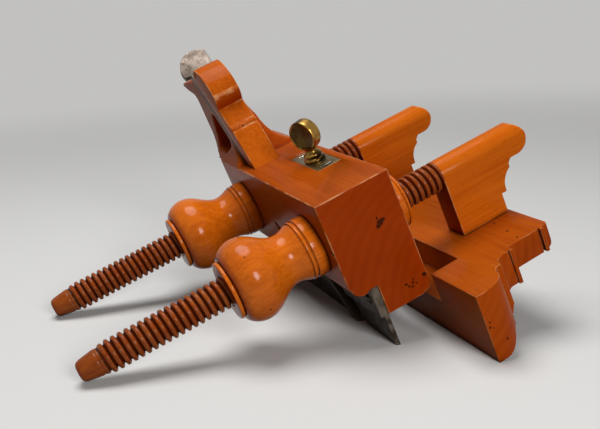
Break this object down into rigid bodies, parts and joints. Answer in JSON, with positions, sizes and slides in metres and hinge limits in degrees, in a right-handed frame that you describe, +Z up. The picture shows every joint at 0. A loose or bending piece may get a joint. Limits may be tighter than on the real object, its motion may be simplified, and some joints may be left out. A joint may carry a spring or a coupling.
{
  "type": "screw-arm plough plane",
  "caption": "Boxwood plough plane with a moulded fence on threaded wooden arms, turned nuts, steel skate, wedged iron and a brass screw depth stop.",
  "frame": {"origin": "on the sole of the front skate, in the middle of its thickness, right under the axis of the front arm", "axes": "+X along the skate towards the toe, +Y along the arms towards the fence, +Z up out of the work"},
  "size_m": [0.2822, 0.3038, 0.1945],
  "materials": {
    "boxwood": "polished",
    "screw_wood": "satin",
    "brass": "worn",
    "skate_steel": "worn",
    "iron_steel": "worn"
  },
  "bodies": {
    "stock": {"stock": "boxwood", "tote": "boxwood", "front_skate": "skate_steel", "rear_skate": "skate_steel", "skate_screws": "skate_steel", "stop_plate": "brass", "stop_plate_screws": "brass"},
    "fence": {"fence": "boxwood", "front_arm": "screw_wood", "rear_arm": "screw_wood", "fence_screws": "skate_steel"},
    "front_nut": {"front_nut": "boxwood"},
    "rear_nut": {"rear_nut": "boxwood"},
    "front_lock_disc": {"front_lock_disc": "screw_wood"},
    "rear_lock_disc": {"rear_lock_disc": "screw_wood"},
    "front_inner_nut": {"front_inner_nut": "boxwood"},
    "rear_inner_nut": {"rear_inner_nut": "boxwood"},
    "stop_knob": {"stop_knob": "brass", "stop_screw": "brass", "stop_collar": "brass"},
    "depth_stop": {"depth_stop": "brass"},
    "wedge": {"wedge": "boxwood"},
    "iron": {"iron": "iron_steel"}
  },
  "joints": [
    {"name": "nut_turn", "type": "hinge", "parent": "stock", "child": "front_nut", "pos_m": [0, 0, 0.077], "axis": [0, -1, 0], "range_deg": [-720.5, 6480.5]},
    {"name": "fence_slide", "type": "slide", "parent": "stock", "child": "fence", "axis": [0, 1, 0], "range_m": [-0.00847, 0.0762]},
    {"name": "rear_nut_turn", "type": "hinge", "parent": "stock", "child": "rear_nut", "pos_m": [-0.1192, 0, 0.077], "axis": [0, -1, 0], "range_deg": [-720.5, 6480.5]},
    {"name": "front_lock_turn", "type": "hinge", "parent": "stock", "child": "front_lock_disc", "pos_m": [0, 0, 0.077], "axis": [0, -1, 0], "range_deg": [-720.5, 6480.5]},
    {"name": "rear_lock_turn", "type": "hinge", "parent": "stock", "child": "rear_lock_disc", "pos_m": [-0.1192, 0, 0.077], "axis": [0, -1, 0], "range_deg": [-720.5, 6480.5]},
    {"name": "front_inner_turn", "type": "hinge", "parent": "stock", "child": "front_inner_nut", "pos_m": [0, 0, 0.077], "axis": [0, -1, 0], "range_deg": [-720.5, 6480.5]},
    {"name": "rear_inner_turn", "type": "hinge", "parent": "stock", "child": "rear_inner_nut", "pos_m": [-0.1192, 0, 0.077], "axis": [0, -1, 0], "range_deg": [-720.5, 6480.5]},
    {"name": "stop_turn", "type": "hinge", "parent": "stock", "child": "stop_knob", "pos_m": [-0.0463, 0.0193, 0.108], "axis": [0, 0, 1], "range_deg": [0, 3456.5]},
    {"name": "stop_slide", "type": "slide", "parent": "stock", "child": "depth_stop", "axis": [0, 0, -1], "range_m": [0, 0.024]},
    {"name": "wedge_slide", "type": "slide", "parent": "stock", "child": "wedge", "axis": [-0.6428, 0, 0.766], "range_m": [0, 0.025]},
    {"name": "iron_slide", "type": "slide", "parent": "stock", "child": "iron", "axis": [0.6428, 0, -0.766], "range_m": [-0.02, 0.003]}
  ],
  "couplings": [
    {"joint": "nut_turn", "follows": "fence_slide", "rad_per_m": 1484.2},
    {"joint": "rear_nut_turn", "follows": "fence_slide", "rad_per_m": 1484.2},
    {"joint": "front_lock_turn", "follows": "fence_slide", "rad_per_m": 1484.2},
    {"joint": "rear_lock_turn", "follows": "fence_slide", "rad_per_m": 1484.2},
    {"joint": "front_inner_turn", "follows": "fence_slide", "rad_per_m": 1484.2},
    {"joint": "rear_inner_turn", "follows": "fence_slide", "rad_per_m": 1484.2},
    {"joint": "stop_turn", "follows": "stop_slide", "rad_per_m": 2513.3}
  ]
}
